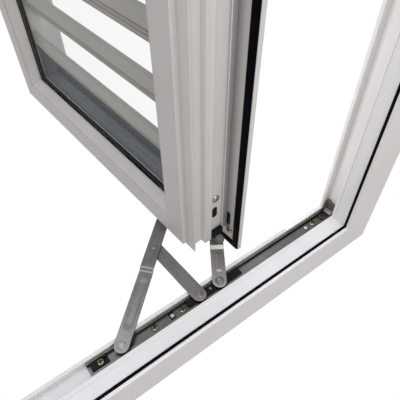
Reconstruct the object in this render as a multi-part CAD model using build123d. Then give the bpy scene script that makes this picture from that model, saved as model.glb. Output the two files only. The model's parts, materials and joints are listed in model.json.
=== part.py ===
from build123d import *
import os
from math import atan2, cos, degrees, hypot, radians, sin

# Outward-opening casement window: a mitred frame, a glazed sash with fixed louvre bars, and a
# friction stay at the sill and at the head that swings and slides the sash.
# Millimetres. X runs along the sill towards the hinge jamb, +Y outdoors, +Z up.
# The model is laid out from the frame's indoor face and moved to the origin when it is written.

# ---- driving dimensions -------------------------------------------------------------------
frame_width = 620.0
frame_height = 800.0
frame_depth = 58.0
frame_face = 56.0            # height of the frame's indoor face
sash_width = 480.0           # indoor face of the sash, edge to edge
sash_margin = 14.4           # from the frame's indoor lip to the sash's indoor face, all round
sash_depth = 77.0
flange_reach = 37.0          # how far the outdoor flange stands past the sash's indoor face
glass_line = 32.0            # glazing rebate floor, from the sash face's outer edge
reveal_line = 45.0           # daylight edge of the sash profiles
bead_depth = 16.5
gasket_thickness = 2.0
glass_thickness = 5.0
wall = 2.2                   # aluminium wall
sash_open_angle = 86.2       # the sash stands open at this angle
arm_open_angle = 42.3        # the long arm's angle to the track with the sash open
long_arm_length = 242.0
mid_rivet_radius = 146.0     # from the long arm's fixed pivot to its middle rivet
mid_arm_length = 98.4
short_arm_length = 69.0
arm_width = 19.2
arm_thickness = 2.0
pivot_clearance = 0.05
bar_count = 7
bar_pitch = 77.8
first_bar_top = 129.4        # top of the lowest bar above the sash face's bottom edge
lock_throw = 18.0

# ---- places worked out from them ----------------------------------------------------------
half_width = frame_width / 2
half_height = frame_height / 2
sash_face_bottom = frame_face + sash_margin
sash_height = frame_height - 2 * sash_face_bottom
sash_half = sash_width / 2
stay_line = 44.5             # centre of the stay's channel, from the indoor face
channel_low = 32.1
channel_high = 53.5
channel_floor = 41.0
lip_height = 51.2
track_base = 1.6
low_level = 51.6             # underside of the arms at the track
high_level = 54.5            # underside of the arms at the sash
bar_level = 57.0             # underside of the sash bar
sash_channel = -10.6         # floor of the sash's hardware channel, below the face edge
pivot_a = Vector(-94.8, stay_line)
pivot_c1 = Vector(19.3, stay_line)
pivot_c2 = Vector(52.7, stay_line)
pin_radius = 3.95
pivot_depth = 49.0           # the sash pivots, from the sash's indoor face
pivot_b_in = 92.8            # from the hinge edge of the sash to its long-arm pivot
pivot_e_in = -13.0           # from the hinge edge of the sash to its short-arm pivot
face_y = stay_line - pivot_depth
closed_b = Vector(sash_half - pivot_b_in, stay_line)
closed_e = Vector(sash_half - pivot_e_in, stay_line)


def polar(centre, radius, angle):
    """Point at a radius and an angle in degrees from a centre, in plan."""
    return Vector(centre.X + radius * cos(radians(angle)), centre.Y + radius * sin(radians(angle)))


open_b = polar(pivot_a, long_arm_length, arm_open_angle)
sash_place = Pos(open_b.X, open_b.Y, 0) * Rot(0, 0, -sash_open_angle) * Pos(-closed_b.X, -closed_b.Y, 0)
open_e = polar(open_b, pivot_b_in - pivot_e_in, -sash_open_angle)
short_arm_angle = degrees(atan2(open_e.Y - pivot_c2.Y, open_e.X - pivot_c2.X))
rivet_d = polar(pivot_a, mid_rivet_radius, arm_open_angle)
mid_arm_angle = degrees(atan2(rivet_d.Y - pivot_c1.Y, rivet_d.X - pivot_c1.X))
to_origin = Pos(0, -frame_depth / 2, 0)
head_mirror = Plane.XY.offset(half_height)

nodes = {}


def keep(name, *shapes):
    """Collect the solids of one node."""
    solids = [solid for shape in shapes for solid in shape.solids()]
    nodes[name] = solids[0] if len(solids) == 1 else Compound(solids)


def keep_on_sash(name, *shapes):
    """Collect one node of the sash, built in the closed place and swung to the open one."""
    keep(name, *[sash_place * shape for shape in shapes])


def at_head(shape):
    """The same piece at the head, mirrored about the window's mid height."""
    return mirror(shape, about=head_mirror)


def face_of(points):
    return make_face(Polyline(*points, close=True))


def block(x0, x1, y0, y1, z0, z1):
    return Pos((x0 + x1) / 2, (y0 + y1) / 2, (z0 + z1) / 2) * Box(x1 - x0, y1 - y0, z1 - z0)


def disc(x, y, z0, z1, radius):
    return Pos(x, y, (z0 + z1) / 2) * Cylinder(radius, z1 - z0)


def extrusion(outline, length, holes=()):
    """A bar along X with the given (y, z) outline and holes, centred on X = 0."""
    section = face_of(outline)
    for hole in holes:
        section = section - face_of(hole)
    section = Plane(origin=(-length / 2, 0, 0), x_dir=(0, 1, 0), z_dir=(1, 0, 0)) * section
    return extrude(section, amount=length, dir=(1, 0, 0))


def mitred(outline, length, reach, holes=()):
    """An extrusion whose two ends are cut at 45 degrees; z = 0 is its long edge."""
    half = length / 2
    outer = [(-half, 0), (half, 0), (half - reach, reach), (-half + reach, reach)]
    spread = 200.0
    wedge = Plane(origin=(0, spread / 2, 0), x_dir=(1, 0, 0), z_dir=(0, -1, 0)) * face_of(outer)
    wedge = extrude(wedge, amount=spread, dir=(0, -1, 0))
    return extrusion(outline, length + 2, holes) & wedge


def four_sides(outline, width, height, reach, holes=()):
    """Bottom, top, right and left members of a mitred rectangle standing on z = 0."""
    across = mitred(outline, width, reach, holes)
    upright = mitred(outline, height, reach, holes)
    return {
        "bottom": across,
        "top": Pos(0, 0, height) * Rot(0, 180, 0) * across,
        "right": Pos(width / 2, 0, height / 2) * Rot(0, -90, 0) * upright,
        "left": Pos(-width / 2, 0, height / 2) * Rot(0, 90, 0) * upright,
    }


def corner_cleats(half, bottom, top, y0, y1, skin, thick, leg):
    """Four L-shaped cleats in the corners of a mitred rectangle."""
    pieces = []
    for side in (-1, 1):
        for edge, up in ((bottom, 1), (top, -1)):
            outer = side * (half - skin)
            points = [
                (outer, edge + up * skin),
                (outer - side * leg, edge + up * skin),
                (outer - side * leg, edge + up * (skin + thick)),
                (outer - side * thick, edge + up * (skin + thick)),
                (outer - side * thick, edge + up * (skin + leg)),
                (outer, edge + up * (skin + leg)),
            ]
            ell = Plane(origin=(0, y1, 0), x_dir=(1, 0, 0), z_dir=(0, -1, 0)) * face_of(points)
            pieces.append(extrude(ell, amount=y1 - y0, dir=(0, -1, 0)))
    return pieces


# ---- frame --------------------------------------------------------------------------------
gasket_low = 4.4
gasket_high = 8.7
gasket_seat = 48.0
ledge = 54.0
ledge_two = 55.0
frame_outline = [
    (0, 0), (frame_depth, 0), (frame_depth, lip_height - 0.6), (frame_depth - 0.6, lip_height),
    (56.2, lip_height), (55.8, lip_height - 0.5), (55.4, lip_height), (channel_high, lip_height),
    (channel_high, channel_floor), (channel_low, channel_floor), (channel_low, ledge_two),
    (27.6, ledge_two), (26.8, ledge - 0.6), (25.8, ledge + 0.5), (21.5, ledge), (gasket_high, ledge),
    (gasket_high, gasket_seat), (gasket_low, gasket_seat), (gasket_low, frame_face - 0.4),
    (gasket_low - 0.4, frame_face), (2.2, frame_face), (0.7, frame_face - 0.6), (0, frame_face - 2.0),
]
frame_chambers = [
    [(wall, wall), (frame_depth - wall, wall), (frame_depth - wall, 38.6), (wall, 38.6)],
    [(wall, 40.8), (29.9, 40.8), (29.9, 51.8), (10.9, 51.8), (10.9, 45.8), (wall, 45.8)],
]
fixing_radius = 2.75
fixing_height = 200.0        # the fixing holes above and below the window's mid height
screw_shank = 2.0
stay_screws = (-49.3, -7.7, 230.6)
end_block_screw = -123.6

frame = four_sides(frame_outline, frame_width, frame_height, frame_depth, frame_chambers)
for level in (half_height - fixing_height, half_height + fixing_height):
    bolt = Pos(0, stay_line, level) * Rot(0, 90, 0) * Cylinder(fixing_radius, frame_width + 20)
    frame["right"] = frame["right"] - bolt
    frame["left"] = frame["left"] - bolt
for x in stay_screws + (end_block_screw,):
    pilot = disc(x, stay_line, wall + 2, channel_floor + 1, screw_shank + pivot_clearance)
    frame["bottom"] = frame["bottom"] - pilot
    frame["top"] = frame["top"] - at_head(pilot)
keep("frame_sill", frame["bottom"])
keep("frame_head", frame["top"])
keep("frame_hinge_jamb", frame["right"])
keep("frame_lock_jamb", frame["left"])
keep("frame_corner_cleats", *corner_cleats(half_width, 0, frame_height, 6, 52, 3.0, 33.0, 70.0))

gasket_outline = [
    (gasket_low, gasket_seat), (gasket_high, gasket_seat), (gasket_high, ledge + 1.2),
    (7.6, frame_face - 0.2), (5.4, frame_face + 0.2), (gasket_low, frame_face - 0.4),
]
gasket_strips = four_sides(gasket_outline, frame_width, frame_height, frame_depth)
keep("frame_gasket", *gasket_strips.values())

# ---- keepers on the lock jamb ---------------------------------------------------------------
lock_pin_height = 200.0      # the lock pins above and below the mid height, when locked
keeper_floor = half_width - channel_floor
keepers = []
for level in (half_height - lock_pin_height, half_height + lock_pin_height):
    plate = block(-keeper_floor, 3 - keeper_floor, 36, 53, level - 30, level + 30)
    lip = block(3 - keeper_floor, 11.5 - keeper_floor, 50.8, 53, level - 12, level + 8)
    for offset in (-22, 22):
        hole = Pos(-keeper_floor, stay_line, level + offset) * Rot(0, 90, 0) * Cylinder(2.2, 12)
        plate = plate - hole
    keepers.append(plate + lip)
keep("lock_keepers", *keepers)

# ---- friction stay: track ---------------------------------------------------------------------
track_start = -139.3
track_end = 262.9
track_top = 47.6
track_low = 35.3
track_high = 53.2
track_floor = channel_floor + track_base
track_outline = [
    (track_low, channel_floor), (track_high, channel_floor), (track_high, track_top),
    (50.4, track_top), (50.4, 46.4), (52.0, 46.4), (52.0, track_floor), (36.5, track_floor),
    (36.5, 46.4), (38.3, 46.4), (38.3, track_top), (track_low, track_top),
]
track = extrusion(track_outline, track_end - track_start)
track = Pos((track_start + track_end) / 2, 0, 0) * track
for x in stay_screws + (end_block_screw,):
    track = track - disc(x, stay_line, channel_floor - 1, track_floor + 1, screw_shank + pivot_clearance)
track = track - disc(216.2, stay_line, channel_floor - 1, track_floor + 1, 2.6)
track = track + block(-25.5, -20.5, 42, 47, track_floor, track_floor + 1.2)
track = track + disc(250.6, stay_line, track_floor, track_floor + 2.4, 5.0)
track = track - disc(250.6, stay_line, track_floor + 1.0, track_floor + 3, 2.6)
keep("lower_track", track)
keep("upper_track", at_head(track))

end_block = block(-135.8, -113.7, 38.7, 50.0, track_floor, 49.6)
end_block = end_block - block(-118.5, -113, 42.5, 46.5, 46.5, 50)
end_block = end_block - disc(end_block_screw, stay_line, track_floor - 1, 50, screw_shank + pivot_clearance)
end_block = end_block - disc(end_block_screw, stay_line, 47.4, 50, 5.1)
keep("track_end_blocks", end_block, at_head(end_block))

cap_wall = 1.3
cap_floor = track_top + 0.4
cap_start = 249.0
cap_end = 268.7
cap_low = 33.0
cap_high = 53.4
cap_top = 67.5


def cheek(points, y):
    """One upright cheek of the end cap, cut from sheet, with its low face at y."""
    sheet = Plane(origin=(0, y, 0), x_dir=(1, 0, 0), z_dir=(0, -1, 0)) * face_of(points)
    return extrude(sheet, amount=cap_wall, dir=(0, 1, 0))


inner_cheek = [(246.5, cap_floor), (cap_end, cap_floor), (cap_end, 66), (264, cap_top), (257, 63), (251, 52)]
outer_cheek = [
    (cap_start, cap_floor), (cap_end, cap_floor), (cap_end, 66), (264, cap_top), (260.4, 65), (259.4, 52.5),
    (252, 52.5),
]
end_cap = cheek(inner_cheek, cap_low) + cheek(outer_cheek, cap_high - cap_wall)
end_cap = end_cap + block(cap_end - cap_wall, cap_end, cap_low, cap_high, channel_floor + 0.2, 66)
keep("track_end_caps", end_cap, at_head(end_cap))


def pan_screw(x, y, seat, shank_length, head_radius=4.8, head_height=2.0):
    """Pan-head cross-recess screw standing on z = seat and pointing down."""
    body = disc(x, y, seat - shank_length, seat, screw_shank)
    head = disc(x, y, seat, seat + head_height, head_radius)
    head = chamfer(head.edges().group_by(Axis.Z)[-1], 0.8)
    slot = block(x - 2.6, x + 2.6, y - 0.55, y + 0.55, seat + 0.9, seat + 3)
    return body + head - slot - Pos(x, y, 0) * Rot(0, 0, 90) * Pos(-x, -y, 0) * slot


track_screws = [pan_screw(x, stay_line, track_floor, 18.0) for x in stay_screws]
track_screws.append(pan_screw(end_block_screw, stay_line, 47.4, 22.0))
keep("track_screws", *track_screws, *[at_head(screw) for screw in track_screws])


def pivot_stud(centre, foot_level, foot_radius, arm_level, head_radius, head_height):
    """A shouldered rivet: foot, pin through an arm, and a flat ringed head above it."""
    head_level = arm_level + arm_thickness + 0.2
    stud = disc(centre.X, centre.Y, foot_level, arm_level - 0.2, foot_radius)
    stud = stud + disc(centre.X, centre.Y, arm_level - 0.2, head_level, pin_radius)
    head = disc(centre.X, centre.Y, head_level, head_level + head_height, head_radius)
    return stud + head - disc(centre.X, centre.Y, head_level + head_height / 2, head_level + 2, 2.4)


arm_pivot = pivot_stud(pivot_a, track_floor, 5.8, low_level, 6.2, 0.9)
keep("arm_pivot_studs", arm_pivot, at_head(arm_pivot))

# ---- friction stay: slider ------------------------------------------------------------------
slider_start = 0.5
slider_end = 86.5
slider_top = 51.2
slider = block(slider_start, slider_end, 36.9, 51.6, track_floor + 0.3, 46.1)
slider = slider + block(slider_start, slider_end, 38.7, 50.0, 46.1, 49.4)
for centre in (pivot_c1, pivot_c2):
    slider = slider + disc(centre.X, centre.Y, 49.4, slider_top, 7.0) - block(
        centre.X - 8, centre.X + 8, 50.0, 53, 47.5, slider_top
    )
slider = slider - block(32.0, 37.4, 41.8, 47.2, 48.4, 50)
keep("lower_slider", slider)
keep("upper_slider", at_head(slider))
slider_studs = [pivot_stud(centre, slider_top, 5.6, low_level, 5.4, 0.6) for centre in (pivot_c1, pivot_c2)]
keep("slider_studs", *slider_studs, *[at_head(stud) for stud in slider_studs])


# ---- friction stay: arms ----------------------------------------------------------------------
def stay_arm(length, bend_start, bend_end, low, high, holes):
    """A flat arm along X from pivot to pivot, stepped from one level to the other between two bends."""
    end = arm_width / 2
    side = [
        (-end, low), (bend_start, low), (bend_end, high), (length + end, high),
        (length + end, high + arm_thickness), (bend_end, high + arm_thickness),
        (bend_start, low + arm_thickness), (-end, low + arm_thickness),
    ]
    if low == high:
        side = [side[0], side[3], side[4], side[7]]
    strip = Plane(origin=(0, end, 0), x_dir=(1, 0, 0), z_dir=(0, -1, 0)) * face_of(side)
    strip = extrude(strip, amount=arm_width, dir=(0, -1, 0))
    plan = Pos(length / 2, 0, low - 1) * SlotOverall(length + arm_width, arm_width)
    arm = strip & extrude(plan, amount=high - low + arm_thickness + 2)
    for x, radius in holes:
        arm = arm - disc(x, 0, low - 1, high + arm_thickness + 1, radius)
    return arm


def laid(arm, pivot, angle):
    return Pos(pivot.X, pivot.Y, 0) * Rot(0, 0, angle) * arm


hole_radius = pin_radius + pivot_clearance
long_arm = stay_arm(
    long_arm_length, 102, 109, low_level, high_level, ((0, hole_radius), (long_arm_length, hole_radius))
)
dish = Pos(62, 0, low_level + arm_thickness - 0.5) * SlotOverall(66, 12.5)
long_arm = long_arm - extrude(dish, amount=2)
long_arm = laid(long_arm, pivot_a, arm_open_angle)
keep("lower_long_arm", long_arm)
keep("upper_long_arm", at_head(long_arm))

ring = disc(rivet_d.X, rivet_d.Y, high_level + arm_thickness, high_level + arm_thickness + 0.8, 6.4)
ring = ring - disc(rivet_d.X, rivet_d.Y, high_level + arm_thickness + 0.4, high_level + 4, 2.6)
keep("middle_rivets", ring, at_head(ring))

mid_arm = stay_arm(mid_arm_length, 0, 0, low_level, low_level, ((0, hole_radius),))
mid_arm = laid(mid_arm, pivot_c1, mid_arm_angle)
keep("lower_mid_arm", mid_arm)
keep("upper_mid_arm", at_head(mid_arm))

short_arm = stay_arm(short_arm_length, 49, 56, low_level, high_level, ((0, hole_radius),))
rib = Pos(30, 0, low_level + arm_thickness) * SlotOverall(33, 8)
short_arm = short_arm + extrude(rib, amount=0.7)
short_arm = laid(short_arm, pivot_c2, short_arm_angle)
keep("lower_short_arm", short_arm)
keep("upper_short_arm", at_head(short_arm))

# ---- sash profiles -------------------------------------------------------------------------
# Outline points are (depth from the sash's indoor face, height above the face's outer edge).
ridge = -12.4
flange_wall = 70.5
glass_front = bead_depth + gasket_thickness
glass_back = glass_front + glass_thickness
rebate_back = glass_back + gasket_thickness
sash_outline = [
    (0, glass_line), (0, 2), (0.6, 0.6), (2, 0), (6.0, 0), (9.8, -12.6), (11.0, -12.6), (16.5, -6.5),
    (26.9, -6.5), (30.2, ridge + 0.4), (35.5, ridge + 0.9), (40.8, ridge), (40.8, sash_channel),
    (58.6, sash_channel), (58.6, -13.0), (60.4, -13.0), (60.4, -8), (flange_wall, -8),
    (flange_wall, -flange_reach), (sash_depth, -flange_reach), (sash_depth, 39), (68, 39), (68, 41),
    (62, 41), (62, 43), (56, 43), (56, reveal_line), (rebate_back, reveal_line), (rebate_back, glass_line),
]
sash_chambers = [
    [(wall, 3.4), (wall, 29.8), (26.4, 29.8), (26.4, -4.3), (17.2, -4.3), (13, -2), (8.6, 3.4)],
    [
        (28.8, -8.2), (28.8, 42.6), (53.6, 42.6), (53.6, 38.5), (65.6, 38.5), (65.6, 36.6),
        (sash_depth - wall, 36.6), (sash_depth - wall, -5.6), (58.4, -5.6), (58.4, -8.2),
    ],
]
outer_width = sash_width + 2 * flange_reach
outer_height = sash_height + 2 * flange_reach
outer_bottom = sash_face_bottom - flange_reach


def on_flange_edge(points):
    """Sash outline points, measured from the flange's edge instead of the face's edge."""
    return [(depth + face_y, height + flange_reach) for depth, height in points]


def sash_sides(points, chambers=()):
    """The four mitred members of a sash outline, in the closed place."""
    holes = [on_flange_edge(chamber) for chamber in chambers]
    reach = flange_reach + reveal_line + 5
    sides = four_sides(on_flange_edge(points), outer_width, outer_height, reach, holes)
    return {side: Pos(0, 0, outer_bottom) * member for side, member in sides.items()}


sash = sash_sides(sash_outline, sash_chambers)
lock_face_x = 15.0 - sash_half           # centre of the handle on the lock stile's face
spindle_hole = Pos(lock_face_x, face_y + 20, half_height) * Rot(90, 0, 0) * Cylinder(6.0, 80)
drive_slot = block(
    -sash_half - 12, -sash_half + 9, face_y + 45, face_y + 53, half_height - 34, half_height + 34
)
sash["left"] = sash["left"] - spindle_hole - drive_slot
channel_face = sash_half - sash_channel
stile_screw_inset = 66.8
stile_screw = Rot(0, 90, 0) * pan_screw(0, 0, 0, 2.4, 4.6, 1.6)
stile_screw_reach = half_height - sash_face_bottom - stile_screw_inset
edge_screws = [
    Pos(channel_face, face_y + 47.5, half_height + offset) * stile_screw
    for offset in (-stile_screw_reach, 0, stile_screw_reach)
]
for screw in edge_screws:
    sash["right"] = sash["right"] - screw
keep_on_sash("stile_screws", *edge_screws)
keep_on_sash("sash_bottom_rail", sash["bottom"])
keep_on_sash("sash_top_rail", sash["top"])
keep_on_sash("sash_hinge_stile", sash["right"])
keep_on_sash("sash_lock_stile", sash["left"])
keep_on_sash(
    "sash_corner_cleats",
    *corner_cleats(
        sash_half + 8.0, sash_face_bottom - 8.0, sash_face_bottom + sash_height + 8.0,
        face_y + 30, face_y + 52, 3.0, 30.0, 80.0,
    ),
)

flange_gasket_outline = [
    (68.5, -35.2), (flange_wall, -36.2), (flange_wall, -26.0), (68.7, -26.5), (68.2, -29), (68.1, -33),
]
flange_gasket = sash_sides(flange_gasket_outline)
keep_on_sash("sash_flange_gasket", *flange_gasket.values())

bead_outline = [
    (0.4, glass_line), (0.4, 34.2), (1.2, 35.0), (14.0, 42.2), (bead_depth, 42.2), (bead_depth, glass_line),
    (bead_depth - 2, glass_line), (bead_depth - 2, 39.4), (3.0, 33.8), (3.0, glass_line),
]
bead = sash_sides(bead_outline)
bead_names = {"bottom": "bottom_bead", "top": "top_bead", "right": "hinge_bead", "left": "lock_bead"}
for side, name in bead_names.items():
    keep_on_sash(name, bead[side])

# ---- glazing ---------------------------------------------------------------------------------
glass_edge = glass_line + 2.5
pane_half = sash_half - glass_edge
pane_low = sash_face_bottom + glass_edge
pane_high = sash_face_bottom + sash_height - glass_edge
pane = block(-pane_half, pane_half, face_y + glass_front, face_y + glass_back, pane_low, pane_high)
keep_on_sash("glass_pane", pane)
for name, low, high in (
    ("indoor_glazing_gasket", bead_depth, glass_front), ("outdoor_glazing_gasket", glass_back, rebate_back)
):
    strip_outline = [(low, glass_edge), (low, 43.4), (high, 43.4), (high, glass_edge)]
    keep_on_sash(name, *sash_sides(strip_outline).values())
packer_length = 80.0
packers = []
for side in (-1, 1):
    centre = side * (pane_half - 90)
    packers.append(
        block(
            centre - packer_length / 2, centre + packer_length / 2, face_y + bead_depth + 0.4,
            face_y + rebate_back - 0.4, sash_face_bottom + glass_line, pane_low,
        )
    )
keep_on_sash("setting_blocks", *packers)

# ---- louvre bars behind the glass -------------------------------------------------------------
bar_half = sash_half - reveal_line
bar_outline = [
    (27.2, 0), (27.2, -20), (29.4, -22.4), (31.2, -22.4), (35.0, -33), (37.6, -34), (41.6, -45.4),
    (50.0, -49.0), (50.8, -47.2), (43.2, -43.6), (39.4, -32.4), (36.8, -31.4), (32.8, -20.6),
    (29.6, -19.6), (29.2, -1.8), (35.0, -1.8), (35.0, 0),
]
for index in range(bar_count):
    bar_top = sash_face_bottom + first_bar_top + index * bar_pitch
    outline = [(depth + face_y, height + bar_top) for depth, height in bar_outline]
    keep_on_sash(f"louvre_bar_{index + 1}", extrusion(outline, 2 * bar_half))

tray_floor = sash_face_bottom + reveal_line
tray_outline = [
    (26.2, 0), (55.6, 0), (55.6, 16), (54.4, 16), (54.4, 1.4), (42.2, 1.4), (41.6, 2.6), (41.0, 1.4),
    (27.4, 1.4), (27.4, 3.0), (26.2, 3.0),
]
tray = extrusion([(depth + face_y, height + tray_floor) for depth, height in tray_outline], 2 * bar_half)
for side in (-1, 1):
    inner = bar_half - 1.4
    ends = sorted((side * inner, side * bar_half))
    tray = tray + block(ends[0], ends[1], face_y + 27.4, face_y + 54.4, tray_floor + 1.4, tray_floor + 26)
keep_on_sash("drip_tray", tray)

# ---- stay fittings on the sash --------------------------------------------------------------
sash_bar_top = sash_face_bottom + sash_channel
sash_bar_width = 15.0
sash_bar_long = 175.0
bar_end_in = pivot_e_in - sash_bar_width / 2
bar_middle = sash_half - (bar_end_in + sash_bar_long) / 2
sash_bar_plan = Pos(bar_middle, stay_line, bar_level) * SlotOverall(sash_bar_long - bar_end_in, sash_bar_width)
sash_bar = extrude(sash_bar_plan, amount=sash_bar_top - bar_level)
bar_screws_in = (60.0, 130.0, 165.0)
for inset in bar_screws_in:
    sash_bar = sash_bar - disc(sash_half - inset, stay_line, bar_level - 1, sash_bar_top + 1, 2.2)
pivot_pin = disc(closed_b.X, closed_b.Y, high_level - 0.1, bar_level, pin_radius)
sash_bar = sash_bar - disc(closed_b.X, closed_b.Y, bar_level - 1, sash_bar_top + 1, 2.6)
rivet = pivot_pin + disc(closed_b.X, closed_b.Y, bar_level, sash_bar_top - 0.3, 2.6)
eye = disc(closed_e.X, closed_e.Y, bar_level, sash_bar_top - 0.3, 2.6)
sash_bar = sash_bar - disc(closed_e.X, closed_e.Y, bar_level - 1, sash_bar_top + 1, 2.6)
keep_on_sash("lower_sash_bar", sash_bar)
keep_on_sash("upper_sash_bar", at_head(sash_bar))
keep_on_sash("sash_bar_rivets", rivet, eye, at_head(rivet), at_head(eye))

tip_start = sash_half - sash_channel + 0.4
tip_end = sash_half + 25.0
tip_outline = [
    (tip_start, sash_bar_top), (tip_start, sash_bar_top + 7.5), (tip_start + 5, sash_bar_top + 7.0),
    (tip_end - 1.5, sash_bar_top + 2.5), (tip_end, sash_bar_top), (tip_end, bar_level + 0.2),
    (tip_end - 3.6, bar_level + 0.2), (tip_end - 3.6, sash_bar_top),
]
tip = Plane(origin=(0, stay_line + 6.5, 0), x_dir=(1, 0, 0), z_dir=(0, -1, 0)) * face_of(tip_outline)
tip = extrude(tip, amount=13.0, dir=(0, -1, 0))
tip = chamfer(tip.edges().filter_by(Axis.Z).group_by(Axis.X)[-1], 2.2)
keep_on_sash("sash_bar_tips", tip, at_head(tip))

corner_block = block(
    tip_start - 0.4, tip_start + 3.4, face_y + 42.0, face_y + 57.6, sash_bar_top + 8.2, sash_bar_top + 24
)
keep_on_sash("corner_blocks", corner_block, at_head(corner_block))


# ---- handle and lock on the lock stile --------------------------------------------------------
handle_reach = 30.0
base = block(lock_face_x - 13, lock_face_x + 13, face_y - 11, face_y, half_height - 62, half_height + 62)
base = fillet(base.edges().filter_by(Axis.Y), 8)
base = base - Pos(lock_face_x, face_y - 5, half_height) * Rot(90, 0, 0) * Cylinder(8.05, 30)
keep_on_sash("handle_base", base)

neck = Rot(90, 0, 0) * Cylinder(8.0, handle_reach - 2)
neck = Pos(lock_face_x, face_y - handle_reach / 2 - 1, half_height) * neck
lever_points = [(0, 9), (18, 10), (112, 7), (118, 0), (112, -7), (18, -10), (0, -9)]
lever = Plane(origin=(lock_face_x, face_y - handle_reach, half_height), x_dir=(1, 0, 0), z_dir=(0, -1, 0))
lever = extrude(lever * face_of(lever_points), amount=13.0, dir=(0, -1, 0))
lever = fillet(lever.edges().filter_by(Axis.Y), 3)
hub = Pos(lock_face_x, face_y - handle_reach - 6.5, half_height) * Rot(90, 0, 0) * Cylinder(11.0, 13.0)
handle = lever + hub + neck
handle = handle - Pos(lock_face_x, face_y - 8, half_height) * Box(7.2, 24.0, 7.2)
keep_on_sash("handle_lever", handle)
spindle = Pos(lock_face_x, face_y + 14.0, half_height) * Box(7.0, 66.0, 7.0)
keep_on_sash("handle_spindle", spindle)

case = block(
    -sash_half - 6.5, -sash_half + 28, face_y + 30, face_y + 53, half_height - 46, half_height + 46
)
case = case - Pos(lock_face_x, face_y + 36, half_height) * Rot(90, 0, 0) * Cylinder(6.0, 40)
keep_on_sash("lock_case", case)

strip_face = -sash_half + sash_channel - 0.3
lock_strip = block(
    strip_face - 2.2, strip_face, face_y + 42, face_y + 56, half_height - 245, half_height + 245 + lock_throw
)
drive_pin = block(
    strip_face, strip_face + 4.0, face_y + 46.5, face_y + 51.5,
    half_height - 6 + lock_throw / 2, half_height + 6 + lock_throw / 2,
)
keep_on_sash("lock_strip", lock_strip + drive_pin)
lock_pins = []
for level in (half_height - lock_pin_height, half_height + lock_pin_height):
    shaft = Pos(strip_face - 5.2, stay_line, level + lock_throw) * Rot(0, 90, 0) * Cylinder(3.6, 6.0)
    collar = Pos(strip_face - 9.2, stay_line, level + lock_throw) * Rot(0, 90, 0) * Cylinder(4.8, 2.0)
    lock_pins.append(shaft + collar)
keep_on_sash("lock_pins", *lock_pins)

# ---- write ---------------------------------------------------------------------------------
os.makedirs("parts", exist_ok=True)
for name, shape in nodes.items():
    export_step(to_origin * shape, os.path.join("parts", f"{name}.step"))
print(len(nodes), "nodes; sash pivot", open_b, "short arm angle", short_arm_angle, "mid arm", mid_arm_angle)
print("mid rivet gap", hypot(rivet_d.X - pivot_c1.X, rivet_d.Y - pivot_c1.Y) - mid_arm_length)
print("short arm gap", hypot(open_e.X - pivot_c2.X, open_e.Y - pivot_c2.Y) - short_arm_length)
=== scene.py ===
import json
from math import cos, pi, radians, sin

import bmesh
import bpy
import numpy as np
from mathutils import Matrix


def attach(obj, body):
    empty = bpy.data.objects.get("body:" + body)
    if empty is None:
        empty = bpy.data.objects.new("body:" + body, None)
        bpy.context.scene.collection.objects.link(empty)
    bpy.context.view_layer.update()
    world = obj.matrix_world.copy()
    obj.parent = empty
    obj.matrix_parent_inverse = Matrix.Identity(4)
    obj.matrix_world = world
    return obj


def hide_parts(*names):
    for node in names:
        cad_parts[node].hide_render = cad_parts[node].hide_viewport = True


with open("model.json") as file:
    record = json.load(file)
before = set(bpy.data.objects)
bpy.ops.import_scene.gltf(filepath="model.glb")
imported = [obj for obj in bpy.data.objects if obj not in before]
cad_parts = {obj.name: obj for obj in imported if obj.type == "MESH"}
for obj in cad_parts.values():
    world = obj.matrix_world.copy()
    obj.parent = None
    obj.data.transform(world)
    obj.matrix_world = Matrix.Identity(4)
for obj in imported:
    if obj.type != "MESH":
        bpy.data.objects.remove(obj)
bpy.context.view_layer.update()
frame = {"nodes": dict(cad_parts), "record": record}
record = frame["record"]
mm = 0.001

# places taken from the frame
jointPlaces = {j["name"]: j.get("pos_m") for j in record["behaviour"]["joints"]}
pivotA = np.array(jointPlaces["long_arm_swing"])
pivotC1 = np.array(jointPlaces["mid_arm_swing"])
pivotC2 = np.array(jointPlaces["short_arm_swing"])
pivotB = np.array(jointPlaces["sash_swing"])
window = {
    "halfWidth": 0.310, "height": 0.800,
    "faceHeight": 0.0704,      # indoor sash face, above the floor
    "faceHalf": 0.240,         # half the width of the indoor sash face
    "flangeReach": 0.037, "faceY": -0.0335,
    "openAngle": -86.2, "closedPivot": (0.1472, 0.0155),
}
levels = {"arm": 0.0516, "armHigh": 0.0545, "armThick": 0.002, "trackFloor": 0.0426, "blockFloor": 0.0474}
armAngles = {"long": 42.3, "mid": 93.56, "short": 56.1}     # degrees from the sill, at rest


def openSash(points):
    # rotates closed-place points about the sash pivot and moves that pivot to its open place
    turn = radians(window["openAngle"])
    rel = points - np.array([*window["closedPivot"], 0.0])
    x = rel[:, 0] * cos(turn) - rel[:, 1] * sin(turn)
    y = rel[:, 0] * sin(turn) + rel[:, 1] * cos(turn)
    return np.stack([x + pivotB[0], y + pivotB[1], rel[:, 2]], axis=1)


def asIs(points):
    # the points where they are
    return points


def atHead(points):
    # the mirror image at the head of the window
    return points * np.array([1.0, 1.0, -1.0]) + np.array([0.0, 0.0, window["height"]])


def withHead(parts):
    # the parts at the sill and their mirror images at the head
    return parts + [(atHead(p), f) for p, f in parts]


# finishes
def newFinish(name):
    # an empty node tree with one Principled shader joined to its output
    finish = bpy.data.materials.new(name)
    finish.use_nodes = True
    tree = finish.node_tree
    tree.nodes.clear()
    out = tree.nodes.new("ShaderNodeOutputMaterial")
    shader = tree.nodes.new("ShaderNodeBsdfPrincipled")
    tree.links.new(shader.outputs["BSDF"], out.inputs["Surface"])
    return finish, tree, shader


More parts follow.
